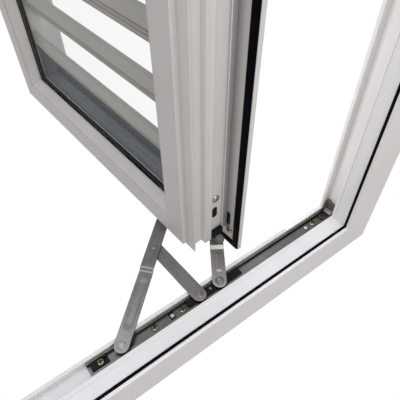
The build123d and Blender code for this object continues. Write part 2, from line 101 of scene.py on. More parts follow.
def grain(tree, scale, detail, stretch=(1, 1, 1), turn=0.0):
    # noise on Object coordinates, stretched along one direction by a Mapping node
    coords = tree.nodes.new("ShaderNodeTexCoord")
    straighten = tree.nodes.new("ShaderNodeMapping")
    straighten.inputs["Rotation"].default_value = (0, 0, -radians(turn))
    squeeze = tree.nodes.new("ShaderNodeMapping")
    squeeze.inputs["Scale"].default_value = stretch
    noise = tree.nodes.new("ShaderNodeTexNoise")
    noise.inputs["Scale"].default_value = scale
    noise.inputs["Detail"].default_value = detail
    noise.inputs["Roughness"].default_value = 0.55
    tree.links.new(coords.outputs["Object"], straighten.inputs["Vector"])
    tree.links.new(straighten.outputs["Vector"], squeeze.inputs["Vector"])
    tree.links.new(squeeze.outputs["Vector"], noise.inputs["Vector"])
    return noise.outputs["Fac"]


def spread(tree, source, low, high, start=0.3, end=0.7):
    # start to end becomes low to high, in a straight line
    ranged = tree.nodes.new("ShaderNodeMapRange")
    ranged.inputs["From Min"].default_value = start
    ranged.inputs["From Max"].default_value = end
    ranged.inputs["To Min"].default_value = low
    ranged.inputs["To Max"].default_value = high
    tree.links.new(source, ranged.inputs["Value"])
    return ranged.outputs["Result"]


def mixTones(tree, share, darkTone):
    # share 0 gives the dark tone and 1 gives what is linked to the mix's second colour
    mix = tree.nodes.new("ShaderNodeMix")
    mix.data_type = "RGBA"
    mix.inputs[6].default_value = (*darkTone, 1)
    tree.links.new(share, mix.inputs["Factor"])
    return mix


def makeFinish(name, look):
    # colour varies between two tones, roughness between two values, and the fine grain gives the bump
    finish, tree, shader = newFinish(name)
    broadShare = look.get("broadShare", 0.5)
    broad = grain(tree, look["broadScale"], 3.0)
    fine = grain(tree, look["fineScale"], 5.0, look.get("stretch", (1, 1, 1)), look.get("turn", 0.0))
    share = tree.nodes.new("ShaderNodeMath")
    share.operation = "MULTIPLY_ADD"        # broad grain x its share + fine grain
    tree.links.new(spread(tree, broad, 0.0, 1.0), share.inputs[0])
    share.inputs[1].default_value = broadShare
    tree.links.new(spread(tree, fine, 0.0, 1.0 - broadShare), share.inputs[2])
    tone = mixTones(tree, share.outputs["Value"], look["darkTone"])
    tone.inputs[7].default_value = (*look["lightTone"], 1)
    if look.get("recess"):
        # painted shade in narrow channels: the tone turns to the darker recess tone where the openness,
        # measured by ambient occlusion, is low
        openness = tree.nodes.new("ShaderNodeAmbientOcclusion")
        openness.samples = 8
        openness.inputs["Distance"].default_value = look["recessReach"]
        unshadedShare = spread(tree, openness.outputs["AO"], 0.0, 1.0, *look["recessRange"])
        shadedTone = mixTones(tree, unshadedShare, look["recess"])
        tree.links.new(tone.outputs[2], shadedTone.inputs[7])
        tone = shadedTone
    tree.links.new(tone.outputs[2], shader.inputs["Base Color"])
    tree.links.new(spread(tree, fine, *look["roughness"]), shader.inputs["Roughness"])
    bump = tree.nodes.new("ShaderNodeBump")
    bump.inputs["Strength"].default_value = look["bump"]
    bump.inputs["Distance"].default_value = look.get("bumpDepth", 0.0004)
    tree.links.new(fine, bump.inputs["Height"])
    if look.get("edge"):
        rounding = tree.nodes.new("ShaderNodeBevel")
        rounding.samples = 4
        rounding.inputs["Radius"].default_value = look["edge"]
        tree.links.new(rounding.outputs["Normal"], bump.inputs["Normal"])
    tree.links.new(bump.outputs["Normal"], shader.inputs["Normal"])
    shader.inputs["Metallic"].default_value = look.get("metal", 0.0)
    shader.inputs["Coat Weight"].default_value = look.get("coat", 0.0)
    shader.inputs["Coat Roughness"].default_value = 0.12
    shader.inputs["Specular IOR Level"].default_value = look.get("shine", 0.5)
    return finish


coatLook = {
    "broadScale": 9.0, "fineScale": 40.0, "roughness": (0.30, 0.42), "bump": 0.03, "bumpDepth": 0.0002,
    "darkTone": (0.70, 0.675, 0.645), "lightTone": (0.79, 0.77, 0.745), "broadShare": 0.6, "coat": 0.15,
}
steelLook = {
    "broadScale": 38.0, "fineScale": 34.0, "roughness": (0.30, 0.46), "bump": 0.12, "bumpDepth": 0.0001,
    "darkTone": (0.20, 0.192, 0.178), "lightTone": (0.36, 0.348, 0.325), "broadShare": 0.35, "metal": 1.0,
    "stretch": (1.2, 60, 60), "edge": 0.0003,
}
along = {"stretch": (1, 22, 22)}            # coat streaks along the sill
upright = {"stretch": (22, 22, 1)}
alongSashLook = {**along, "turn": window["openAngle"]}
even = {"stretch": (1, 1, 1)}               # no brushing direction
# painted light: the frame's coat is a lighter copy of the sash's coat, for the stronger light on the frame
frameLitTones = {"darkTone": (0.80, 0.78, 0.76), "lightTone": (0.88, 0.865, 0.85)}
looks = {
    "coatAlongSill": {**coatLook, **along},
    "coatUpright": {**coatLook, **upright},
    "coatAlongSash": {**coatLook, **alongSashLook},
    "frameAlongSill": {**coatLook, **frameLitTones, **along},
    "frameUpright": {**coatLook, **frameLitTones, **upright},
    "coatStile": {
        **coatLook, **upright,
        # painted shade: the recess tone darkens the coat in the stile's channels, where shade falls
        "recess": (0.28, 0.275, 0.30), "recessReach": 0.014, "recessRange": (0.20, 0.92),
    },
    # painted shade: the bars' white coat is given greyer tones for the shade on them behind the pane
    "louvreCoat": {
        **coatLook, **alongSashLook, "darkTone": (0.50, 0.475, 0.44), "lightTone": (0.60, 0.575, 0.535),
    },
    # painted shade: a dark blue-grey tone for the tray under the lowest bar, where the bottom of the sash
    # lies in shade
    "trayCoat": {
        "broadScale": 9.0, "fineScale": 300.0, "roughness": (0.24, 0.42), "bump": 0.15,
        "darkTone": (0.100, 0.113, 0.122), "lightTone": (0.190, 0.215, 0.250),
    },
    "steelLongArm": {**steelLook, "turn": armAngles["long"]},
    "steelMidArm": {**steelLook, "turn": armAngles["mid"]},
    # painted light: the short arm's steel has lighter tones than the other arms' steel, for the stronger
    # light on it
    "steelShortArm": {
        **steelLook, "turn": armAngles["short"],
        "darkTone": (0.34, 0.33, 0.31), "lightTone": (0.56, 0.545, 0.515),
    },
    "steelSashBar": {**steelLook, "turn": window["openAngle"]},
    "steelTrack": {**steelLook, "darkTone": (0.10, 0.10, 0.09), "lightTone": (0.19, 0.187, 0.172)},
    "steelPlain": {**steelLook, **even, "fineScale": 120.0, "bump": 0.03, "roughness": (0.26, 0.34)},
    "steelCap": {
        **steelLook, **even, "fineScale": 500.0, "roughness": (0.36, 0.50), "bump": 0.05, "metal": 0.1,
        "darkTone": (0.115, 0.108, 0.094), "lightTone": (0.19, 0.18, 0.16),
    },
    "rubber": {
        "broadScale": 30.0, "fineScale": 700.0, "roughness": (0.42, 0.60), "bump": 0.2, "shine": 0.04,
        "darkTone": (0.001, 0.001, 0.002), "lightTone": (0.003, 0.003, 0.005),
    },
    # black nylon's own colour, also used for the black plates of painted shade in slot mouths
    "blackNylon": {
        "broadScale": 60.0, "fineScale": 1100.0, "roughness": (0.38, 0.58), "bump": 0.25, "edge": 0.0004,
        "darkTone": (0.003, 0.003, 0.004), "lightTone": (0.010, 0.010, 0.011), "shine": 0.18,
    },
    "greyNylon": {
        "broadScale": 60.0, "fineScale": 1100.0, "roughness": (0.40, 0.55), "bump": 0.25, "edge": 0.0006,
        "darkTone": (0.115, 0.12, 0.115), "lightTone": (0.165, 0.17, 0.165),
    },
    "yellowZinc": {
        "broadScale": 140.0, "fineScale": 900.0, "roughness": (0.26, 0.40), "bump": 0.1, "metal": 1.0,
        "darkTone": (0.34, 0.275, 0.15), "lightTone": (0.66, 0.58, 0.38),
    },
    # painted shade: near-black for the plates at the bottoms of screw recesses, where shade falls
    "recessDark": {
        "broadScale": 140.0, "fineScale": 900.0, "roughness": (0.5, 0.7), "bump": 0.1, "metal": 0.3,
        "darkTone": (0.020, 0.016, 0.010), "lightTone": (0.055, 0.045, 0.028),
    },
    "plainZinc": {
        "broadScale": 90.0, "fineScale": 900.0, "roughness": (0.18, 0.34), "bump": 0.2, "metal": 1.0,
        "darkTone": (0.42, 0.42, 0.41), "lightTone": (0.70, 0.70, 0.69), "edge": 0.0004,
    },
    "satinHandle": {
        "broadScale": 20.0, "fineScale": 600.0, "roughness": (0.28, 0.4), "bump": 0.1, "metal": 1.0,
        "darkTone": (0.46, 0.46, 0.45), "lightTone": (0.60, 0.60, 0.59), "edge": 0.0012,
    },
}
finishes = {name: makeFinish(name, look) for name, look in looks.items()}
pane = {
    "tint": (0.99, 0.995, 0.992), "smearScale": 22.0, "smearRoughness": (0.01, 0.06),
    "blend": 0.35, "power": 3.0, "mirror": (0.02, 0.30),
}


def makeGlass():
    # clear pane: see-through, with a mirror that grows at a slant, its gloss dulled by faint smears
    finish = bpy.data.materials.new("clearPane")
    finish.use_nodes = True
    tree = finish.node_tree
    tree.nodes.clear()
    out = tree.nodes.new("ShaderNodeOutputMaterial")
    clear = tree.nodes.new("ShaderNodeBsdfTransparent")
    clear.inputs["Color"].default_value = (*pane["tint"], 1)
    mirror = tree.nodes.new("ShaderNodeBsdfGlossy")
    smears = grain(tree, pane["smearScale"], 4.0)
    tree.links.new(spread(tree, smears, *pane["smearRoughness"]), mirror.inputs["Roughness"])
    share = tree.nodes.new("ShaderNodeLayerWeight")
    share.inputs["Blend"].default_value = pane["blend"]
    steep = tree.nodes.new("ShaderNodeMath")
    steep.operation = "POWER"
    steep.inputs[1].default_value = pane["power"]
    tree.links.new(share.outputs["Facing"], steep.inputs[0])
    both = tree.nodes.new("ShaderNodeMixShader")
    tree.links.new(spread(tree, steep.outputs["Value"], *pane["mirror"], 0.0, 1.0), both.inputs["Fac"])
    tree.links.new(clear.outputs["BSDF"], both.inputs[1])
    tree.links.new(mirror.outputs["BSDF"], both.inputs[2])
    tree.links.new(both.outputs["Shader"], out.inputs["Surface"])
    return finish


finishes["clearPane"] = makeGlass()
print("finishes made:", len(finishes))


# mesh makers
def putPiece(name, points, faces, finish, body, replaced=(), sharpAngle=34.0, weighted=True):
    # one mesh from whole arrays: doubles merged, normals pointing out, soft shading with sharp creases
    mesh = bpy.data.meshes.new(name)
    mesh.from_pydata(points.tolist(), [], [tuple(f) for f in faces])
    work = bmesh.new()
    work.from_mesh(mesh)
    bmesh.ops.remove_doubles(work, verts=work.verts, dist=1e-7)
    bmesh.ops.recalc_face_normals(work, faces=work.faces)
    work.to_mesh(mesh)
    work.free()
    mesh.polygons.foreach_set("use_smooth", np.ones(len(mesh.polygons), dtype=bool))
    mesh.set_sharp_from_angle(angle=radians(sharpAngle))
    mesh.materials.append(finishes[finish])
    piece = bpy.data.objects.new(name, mesh)
    bpy.context.scene.collection.objects.link(piece)
    if weighted:
        even = piece.modifiers.new("evenShading", "WEIGHTED_NORMAL")
        even.keep_sharp = True
    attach(piece, body)
    if replaced:
        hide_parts(*replaced)
    return piece


def gridFaces(rows, cols, closeRows=False, closeCols=True, start=0):
    # quads of a rows x cols grid of points, each row closed into a loop if asked
    r = np.arange(rows if closeRows else rows - 1)
    c = np.arange(cols if closeCols else cols - 1)
    i, j = np.meshgrid(r, c, indexing="ij")
    i2, j2 = (i + 1) % rows, (j + 1) % cols
    quads = np.stack([i * cols + j, i * cols + j2, i2 * cols + j2, i2 * cols + j], axis=-1)
    return (quads.reshape(-1, 4) + start).tolist()


def softOutline(outline, radius, steps=4):
    # each corner of a closed outline becomes a quadratic curve between points set back along its two edges
    pts = np.array(outline, dtype=float)
    before, after = np.roll(pts, 1, axis=0), np.roll(pts, -1, axis=0)
    lenIn = np.linalg.norm(pts - before, axis=1, keepdims=True)
    lenOut = np.linalg.norm(after - pts, axis=1, keepdims=True)
    setBack = np.minimum(radius, 0.42 * np.minimum(lenIn, lenOut))
    entry = pts + (before - pts) / lenIn * setBack
    leave = pts + (after - pts) / lenOut * setBack
    s = np.linspace(0, 1, steps + 1)[None, :, None]
    curve = (1 - s) ** 2 * entry[:, None] + 2 * s * (1 - s) * pts[:, None] + s ** 2 * leave[:, None]
    return curve.reshape(-1, 2)


def sweepBetween(loopA, loopB, start=0):
    # a straight run from one loop of points to another, with both ends shut
    count = len(loopA)
    faces = gridFaces(2, count, start=start)
    faces.append([start + k for k in range(count)])
    faces.append([start + count + k for k in range(count)])
    return np.concatenate([loopA, loopB]), faces


def mitredMember(outline, side, half, low, high, gap):
    # outline (depth, height from the outer edge) run along one side of a rectangle and cut at 45 degrees
    y, h = outline[:, 0], outline[:, 1]
    reach = half - h - gap
    if side in ("bottom", "top"):
        z = low + h if side == "bottom" else high - h
        return np.stack([-reach, y, z], axis=1), np.stack([reach, y, z], axis=1)
    x = (half - h) * (1 if side == "right" else -1)
    return np.stack([x, y, low + h + gap], axis=1), np.stack([x, y, high - h - gap], axis=1)


def mitredRing(pieces, outline, radius, half, low, high, place, body, slotName, gap=0.00008, steps=4):
    # the members named in pieces: {piece name: (sides, finish, replaced nodes)}
    soft = softOutline(outline, radius, steps) * mm
    for name, (sides, finish, replaced) in pieces.items():
        points, faces, start = [], [], 0
        for side in sides:
            loops = [place(loop) for loop in mitredMember(soft, side, half, low, high, gap)]
            run, runFaces = sweepBetween(*loops, start=start)
            points.append(run)
            faces += runFaces
            start += len(run)
        putPiece(name, np.concatenate(points), faces, finish, body, replaced)


def plate(length, halfWidth, bend, low, high, thick, edge, relief=None, stations=150, across=34):
    # a slot-shaped plate along X. Height steps smoothly between two bends, the rim is rounded by the
    # distance to it, and relief(x, y) raises or lowers both faces
    endSteps = 14
    quarter = np.linspace(0, pi / 2, endSteps)      # half of one round end
    x = np.concatenate([
        -halfWidth * np.cos(quarter),
        np.linspace(0, length, stations)[1:-1],
        length + halfWidth * np.sin(quarter),
    ])
    off = np.maximum(np.maximum(-x, x - length), 0)
    h = np.sqrt(np.maximum(halfWidth ** 2 - off ** 2, 0))
    v = np.sin(np.linspace(-pi / 2, pi / 2, across))
    gx = np.repeat(x[:, None], across, axis=1)
    gy = h[:, None] * v[None, :]
    inside = halfWidth - np.hypot(np.maximum(np.maximum(-gx, gx - length), 0), gy)
    inside = np.clip(inside, 0, edge)
    drop = edge - np.sqrt(np.maximum(edge ** 2 - (edge - inside) ** 2, 0))
    step = np.clip((gx - bend[0]) / (bend[1] - bend[0]), 0, 1)
    step = step * step * (3 - 2 * step)
    base = low + (high - low) * step
    extra = relief(gx, gy) if relief else 0.0
    top = np.stack([gx, gy, base + thick - drop + extra], axis=-1)
    under = np.stack([gx, gy, base + drop + np.minimum(extra, 0.0)], axis=-1)[:, ::-1]
    rings = np.concatenate([top, under], axis=1)
    return rings.reshape(-1, 3), gridFaces(len(x), 2 * across)


def laid(points, pivot, angle):
    # turns a piece made along X about the upright axis and moves it to its pivot
    a = radians(angle)
    x = points[:, 0] * cos(a) - points[:, 1] * sin(a) + pivot[0]
    y = points[:, 0] * sin(a) + points[:, 1] * cos(a) + pivot[1]
    return np.stack([x, y, points[:, 2]], axis=1)


def turned(profile, centre, seat, around=48, cross=None):
    # a profile of (radius, height) turned about the upright axis; cross cuts a screw's recess into it
    r, z = np.array(profile, dtype=float).T * mm
    a = np.linspace(0, 2 * pi, around, endpoint=False)
    gx, gy = r[:, None] * np.cos(a), r[:, None] * np.sin(a)
    gz = np.repeat(z[:, None], around, axis=1)
    if cross:
        gz = gz - cross["depth"] * crossShape(gx, gy, cross) * (gz > cross["above"])
    points = np.stack([gx + centre[0], gy + centre[1], gz + seat], axis=-1)
    return points.reshape(-1, 3), gridFaces(len(r), around)


def crossShape(x, y, cross):
    # 1 inside a plus-shaped recess and 0 outside it, with a soft shoulder
    def bar(a, b):
        # one arm of the plus: full inside its width and length
        wide = np.clip((cross["width"] - np.abs(a)) / cross["shoulder"], 0, 1)
        long = np.clip((cross["length"] - np.abs(b)) / cross["shoulder"], 0, 1)
        return wide * long
    return np.maximum(bar(x, y), bar(y, x))


def gather(parts):
    # several point-and-face sets as one
    points, faces, start = [], [], 0
    for p, f in parts:
        points.append(p)
        faces += [[i + start for i in face] for face in f]
        start += len(p)
    return np.concatenate(points), faces


# frame
frameBar = {
    "outline": [
        (-29, 0), (29, 0), (29, 51.2), (24.5, 51.2), (24.5, 41.0),
        (3.1, 41.0), (3.1, 55.0), (-1.4, 55.0), (-2.2, 53.5), (-3.2, 54.4), (-7.5, 54.0), (-20.3, 54.0),
        (-20.3, 48.0), (-24.6, 48.0), (-24.6, 55.8), (-26.8, 56.0), (-29, 55.4),
    ],
    "radius": 0.7,
    "members": {
        "frameSillBar": (("bottom",), "frameAlongSill", ("frame_sill",)),
        "frameHeadBar": (("top",), "frameAlongSill", ("frame_head",)),
        "frameHingeJamb": (("right",), "frameUpright", ("frame_hinge_jamb",)),
        "frameLockJamb": (("left",), "frameUpright", ("frame_lock_jamb",)),
    },
    "seal": [(-24.6, 48.0), (-20.3, 48.0), (-20.3, 55.2), (-21.4, 55.8), (-23.6, 56.2), (-24.6, 55.6)],
    "sealRadius": 0.6,
}
mitredRing(frameBar["members"], frameBar["outline"], frameBar["radius"], window["halfWidth"], 0.0,
           window["height"], asIs, "root", "white_aluminium")
allSides = ("bottom", "top", "right", "left")
mitredRing({"frameSeal": (allSides, "rubber", ("frame_gasket",))}, frameBar["seal"], frameBar["sealRadius"],
           window["halfWidth"], 0.0, window["height"], asIs, "root", "black_rubber", 0.0)
print("frame made")

# sash
# outline points are (depth from the indoor face, height above that face's outer edge)
sashBar = {
    "outline": [
        (0, 32), (0, 0), (6.0, 0), (9.8, -12.6), (11.0, -12.6), (16.5, -6.5), (26.9, -6.5), (30.2, -12.0),
        (35.5, -11.5), (40.8, -12.4), (40.8, -10.6), (58.6, -10.6), (58.6, -13.0), (60.4, -13.0), (60.4, -8),
        (70.5, -8), (70.5, -37), (77, -37), (77, 39), (68, 39), (68, 41), (62, 41), (62, 43), (56, 43),
        (56, 45), (25.5, 45), (25.5, 32),
    ],
    "radius": 0.7,
    "members": {
        "sashBottomRail": (("bottom",), "coatAlongSash", ("sash_bottom_rail",)),
        "sashTopRail": (("top",), "coatAlongSash", ("sash_top_rail",)),
        "sashHingeStile": (("right",), "coatStile", ("sash_hinge_stile",)),
        "sashLockStile": (("left",), "coatStile", ("sash_lock_stile",)),
    },
    "bead": [(0.9, 33.0), (0.9, 34.9), (14.0, 42.4), (17.5, 42.4), (17.5, 33.0)],
    "beads": {
        "beadBottom": (("bottom",), "coatAlongSash", ("bottom_bead",)),
        "beadTop": (("top",), "coatAlongSash", ("top_bead",)),
        "beadHinge": (("right",), "coatUpright", ("hinge_bead",)),
        "beadLock": (("left",), "coatUpright", ("lock_bead",)),
    },
    "beadRadius": 0.5, "flangeSealRadius": 0.6, "paneSealRadius": 0.4,
    "flangeSeal": [(68.1, -35.5), (70.5, -36.4), (70.5, -26.0), (68.3, -26.5), (67.8, -29), (67.7, -33)],
    "paneSeal": [(17.5, 34.5), (17.5, 42.5), (18.5, 42.9), (18.5, 34.5)],
    "outerSeal": [(23.5, 34.5), (23.5, 42.4), (25.5, 44.6), (25.5, 34.5)],
}
sashRing = {
    "half": window["faceHalf"] + window["flangeReach"],
    "low": window["faceHeight"] - window["flangeReach"],
    "high": window["height"] - window["faceHeight"] + window["flangeReach"],
    "place": openSash, "body": "sash",
}


def onFlangeEdge(outline):
    # the same outline measured from the flange's edge and in the frame's depth
    return [(d + window["faceY"] / mm, h + window["flangeReach"] / mm) for d, h in outline]


mitredRing(sashBar["members"], onFlangeEdge(sashBar["outline"]), sashBar["radius"],
           slotName="white_aluminium", **sashRing)
mitredRing(sashBar["beads"], onFlangeEdge(sashBar["bead"]), sashBar["beadRadius"],
           slotName="white_aluminium", **sashRing)
sealTable = (
    ("flangeSeal", "sash_flange_gasket", sashBar["flangeSealRadius"]),
    ("paneSeal", "indoor_glazing_gasket", sashBar["paneSealRadius"]),
    ("outerSeal", "outdoor_glazing_gasket", sashBar["paneSealRadius"]),
)
for name, node, radius in sealTable:
    mitredRing({name: (allSides, "rubber", (node,))}, onFlangeEdge(sashBar[name]), radius,
               slotName="black_rubber", gap=0.0, **sashRing)
print("sash made")

# louvre bars behind the pane
louvre = {
    "outline": [
        (27.2, 0), (27.2, -20), (31.6, -21.6), (32.6, -25.8), (30.6, -26.6), (31.2, -28.8),
        (35.6, -30.6), (36.6, -34.6), (34.8, -35.4), (35.6, -37.6), (39.6, -39.2), (41.2, -44.4),
        (40.2, -45.6), (41.0, -47.0), (50.0, -49.0), (50.8, -47.2), (44.4, -43.6), (39.4, -32.4),
        (36.8, -26.0), (33.8, -19.6), (29.6, -18.6), (29.2, -1.8), (35.0, -1.8), (35.0, 0),
    ],
    "radius": 0.5, "half": 0.195, "firstTop": 0.1998, "pitch": 0.0778, "count": 7,
}


def alongSash(outline, radius, x0, x1, base):
    # an outline of (depth, height) run along the sash's width
    soft = softOutline(outline, radius, 3) * mm
    ends = [np.column_stack([np.full(len(soft), x), soft[:, 0] + window["faceY"], soft[:, 1] + base])
            for x in (x0, x1)]
    return sweepBetween(*ends)


endX = louvre["half"]
for number in range(louvre["count"]):
    top = louvre["firstTop"] + number * louvre["pitch"]
    points, faces = alongSash(louvre["outline"], louvre["radius"], -endX, endX, top)
    putPiece(f"louvreBar{number + 1}", openSash(points), faces, "louvreCoat", "sash",
             (f"louvre_bar_{number + 1}",))
# a dark tray with end plates under the lowest bar: a dark sheet that stands in for the shade there
tray = {
    "outline": [
        (26.2, 0), (55.6, 0), (55.6, 16), (54.4, 16), (54.4, 1.4), (43.0, 1.4),
        (42.4, 2.8), (40.8, 2.8), (40.2, 1.4), (27.4, 1.4), (27.4, 3.0), (26.2, 3.0),
    ],
    "endPlate": [(27.4, 1.4), (54.4, 1.4), (54.4, 33), (43.0, 33), (38.0, 45), (27.4, 62)],
    "floor": 0.1154, "plate": 0.0012, "radius": 0.3, "plateRadius": 0.6,
}
trayParts = [alongSash(tray["outline"], tray["radius"], -endX, endX, tray["floor"])]
for x0, x1 in ((-endX, tray["plate"] - endX), (endX - tray["plate"], endX)):
    trayParts.append(alongSash(tray["endPlate"], tray["plateRadius"], x0, x1, tray["floor"]))
points, faces = gather(trayParts)
putPiece("dripTray", openSash(points), faces, "trayCoat", "sash", ("drip_tray",))
print("louvre bars and tray made")

# friction stays
stay = {
    "halfWidth": 0.0096, "edge": 0.0006,
    "longArm": {"length": 0.242, "bend": (0.1045, 0.1085), "middleRivet": 0.146},
    "midArm": {"length": 0.0984, "bend": (0.04, 0.05)},
    "shortArm": {"length": 0.069, "bend": (0.050, 0.057)},
    "dish": {
        "start": 0.030, "end": 0.084, "half": 0.0025, "depth": 0.0006, "shoulder": 0.0052, "runOut": 0.012,
    },
    "rib": {
        "start": 0.0165, "end": 0.0425, "half": 0.0026, "depth": 0.0012, "shoulder": 0.0014, "runOut": 0.0020,
    },
}


def pressed(settings, sign):
    # a slot-shaped pressing: full depth inside, falling off over its shoulders and over a run-out at its ends
    def relief(x, y):
        along = np.maximum(np.maximum(settings["start"] - x, x - settings["end"]), 0)
        aside = np.maximum(np.abs(y) - settings["half"], 0)
        away = np.hypot(along / settings["runOut"], aside / settings["shoulder"])
        share = np.clip(1 - away, 0, 1)
        return sign * settings["depth"] * share * share * (3 - 2 * share)
    return relief


longPlate = plate(stay["longArm"]["length"], stay["halfWidth"], stay["longArm"]["bend"], levels["arm"],
                  levels["armHigh"], levels["armThick"], stay["edge"], pressed(stay["dish"], -1))
midPlate = plate(stay["midArm"]["length"], stay["halfWidth"], stay["midArm"]["bend"], levels["arm"],
                 levels["arm"], levels["armThick"], stay["edge"], stations=40)
shortPlate = plate(stay["shortArm"]["length"], stay["halfWidth"], stay["shortArm"]["bend"], levels["arm"],
                   levels["armHigh"], levels["armThick"], stay["edge"], pressed(stay["rib"], 1))
armTable = (
    ("LongArm", longPlate, pivotA, armAngles["long"], "long_arms", "steelLongArm", "long_arm"),
    ("MidArm", midPlate, pivotC1, armAngles["mid"], "mid_arms", "steelMidArm", "mid_arm"),
    ("ShortArm", shortPlate, pivotC2, armAngles["short"], "short_arms", "steelShortArm", "short_arm"),
)
for name, (points, faces), pivot, angle, body, finish, node in armTable:
    inPlace = laid(points, pivot, angle)
    for level, where in (("lower", asIs), ("upper", atHead)):
        putPiece(level + name, where(inPlace), faces, finish, body, (f"{level}_{node}",),
                 weighted=False)

# rivet heads: profiles of (radius, height) in millimetres, from the middle outwards and down
rivets = {
    "sharpAngle": 18.0,
    "flatRing": [(0, 0.34), (3.4, 0.34), (3.7, 0.14), (4.1, 0.14), (4.4, 0.40), (5.2, 0.40), (5.7, 0.22),
                 (5.9, 0.0), (5.9, -0.6), (0, -0.6)],
    "domed": [(0, 0.6), (0.8, 0.56), (1.4, 0.42), (1.9, -0.1), (2.5, -0.1), (2.9, 0.35), (3.5, 0.45),
              (4.1, 0.36), (4.6, 0.0), (5.0, 0.0), (5.6, 0.1), (6.1, 0.08), (6.4, 0.0), (6.4, -0.6),
              (0, -0.6)],
    "middle": [(0, 0.22), (3.6, 0.22), (3.9, 0.03), (4.4, 0.03), (4.6, 0.24), (5.0, 0.24), (5.4, 0.10),
               (5.6, 0.0), (5.6, -0.5), (0, -0.5)],
}
longAngle = radians(armAngles["long"])
pivotD = pivotA + stay["longArm"]["middleRivet"] * np.array([cos(longAngle), sin(longAngle), 0])
armTop = levels["arm"] + levels["armThick"]
highTop = levels["armHigh"] + levels["armThick"]
headTable = (
    ("armPivotHeads", [turned(rivets["flatRing"], pivotA, armTop)], "root", ("arm_pivot_studs",)),
    ("sliderHeads", [turned(rivets["domed"], c, armTop) for c in (pivotC1, pivotC2)], "sliders",
     ("slider_studs",)),
    ("middleHeads", [turned(rivets["middle"], pivotD, highTop)], "long_arms", ("middle_rivets",)),
)
for name, heads, body, replaced in headTable:
    points, faces = gather(withHead(heads))
    putPiece(name, points, faces, "steelPlain", body, replaced, rivets["sharpAngle"], False)
print("stay arms and rivets made")

# screws
screw = {
    "head": [(0, 2.0), (0.5, 2.0), (1.0, 1.98), (1.5, 1.95), (2.0, 1.88), (2.5, 1.78), (3.0, 1.66),
             (3.6, 1.44), (4.1, 1.15), (4.6, 0.6), (4.8, 0.1), (4.8, 0.0), (2.0, 0.0), (2.0, -9.0),
             (0, -9.0)],
    "around": 96, "sharpAngle": 40.0,
    "cross": {"width": 0.00120, "length": 0.0032, "shoulder": 0.0003, "depth": 0.0030, "above": 0.0010},
    "floorSize": (0.75, 2.8), "floorHeights": (0.4, 1.5),
    "line": 0.0155,
    "places": (-0.0493, -0.0077, 0.2306), "blockPlace": -0.1236,
}


def fineProfile(points, steps):
    # a profile with more points between each pair, so that a recess keeps a clean edge
    pts = np.array(points, dtype=float)
    s = np.linspace(0, 1, steps, endpoint=False)[None, :, None]
    return np.concatenate([(pts[:-1, None] * (1 - s) + pts[1:, None] * s).reshape(-1, 2), pts[-1:]])


def crossShadePlate(centre, seat, share=1.0):
    # painted shade: a dark plus-shaped plate just below the head's surface, for the shade at the bottom of a
    # screw's recess
    w, n = (value * share * mm for value in screw["floorSize"])
    plus = np.array([(-w, -n), (w, -n), (w, -w), (n, -w), (n, w), (w, w), (w, n), (-w, n), (-w, w), (-n, w),
                     (-n, -w), (-w, -w)]) + np.array(centre)
    heights = [seat + z * share * mm for z in screw["floorHeights"]]
    return sweepBetween(*[np.column_stack([plus, np.full(len(plus), z)]) for z in heights])


screwHead = fineProfile(screw["head"], 4)


def crossHead(centre, seat, share=1.0):
    # a screw head with its plus-shaped recess
    return turned(screwHead * share, centre, seat, screw["around"], screw["cross"])


def putScrews(name, parts, finish, body, replaced=()):
    # screw heads, or the dark plates of painted shade in their recesses, gathered into one piece
    points, faces = gather(parts)
    putPiece(name, points, faces, finish, body, replaced, screw["sharpAngle"], False)


trackSeats = [((x, screw["line"]), levels["trackFloor"]) for x in screw["places"]]
trackSeats.append(((screw["blockPlace"], screw["line"]), levels["blockFloor"]))
putScrews("trackScrewHeads", withHead([crossHead(*seat) for seat in trackSeats]), "yellowZinc", "root",
          ("track_screws",))
putScrews("trackScrewRecesses", withHead([crossShadePlate(*seat) for seat in trackSeats]), "recessDark", "root")


def onStileEdge(part, depth, inset, height):
    # lays an upright piece on its side, pointing out of the hinge stile's edge in the closed place
    p, f = part
    x = window["faceHalf"] + inset + p[:, 2]
    return openSash(np.stack([x, window["faceY"] + depth + p[:, 1], height + p[:, 0]], axis=1)), f


stile = {
    "channelLine": 0.0480, "channelInset": 0.0106, "screwHeights": (0.1372, 0.400, 0.6628), "headShare": 1.22,
    "slotHeights": (0.1062, 0.6828), "slotShift": 0.0012, "slotLength": 0.0110, "slotHalf": 0.0042,
    "flangeFace": 0.0705, "flangeInset": 0.0165, "flangeScrews": (0.062, 0.738), "flangeShare": 1.3,
    "drains": (0.0735, 0.7065), "drainShift": 0.0025, "drainLength": 0.020, "drainHalf": 0.0034,
    "plateFoot": -0.0006, "slotThick": 0.0010, "drainThick": 0.0008, "slotEdge": 0.0003, "drainEdge": 0.0002,
}
stileHeads = [onStileEdge(turned(screwHead * stile["headShare"], (0, 0), 0.0, screw["around"]),
                          stile["channelLine"], stile["channelInset"], height)
              for height in stile["screwHeights"]]
putScrews("stileScrewHeads", stileHeads, "plainZinc", "sash", ("stile_screws",))


def slotShadePlate(kind):
    # a flat slot-shaped black plate, painted shade for the dark mouth of an opening. It has no bend, so both
    # bends lie past its end
    foot = stile["plateFoot"]
    return plate(stile[kind + "Length"], stile[kind + "Half"], (1, 2), foot, foot, stile[kind + "Thick"],
                 stile[kind + "Edge"], stations=12)


points, faces = gather([onStileEdge(slotShadePlate("slot"), stile["channelLine"] - stile["slotShift"],
                                    stile["channelInset"], height) for height in stile["slotHeights"]])
putPiece("stileKeySlots", points, faces, "blackNylon", "sash", weighted=False)


def onFlange(part, inset, height):
    # lays an upright piece on the flange's inner face, pointing indoors in the closed place
    p, f = part
    y = window["faceY"] + stile["flangeFace"] - p[:, 2]
    return openSash(np.stack([window["faceHalf"] + inset + p[:, 1], y, height + p[:, 0]], axis=1)), f


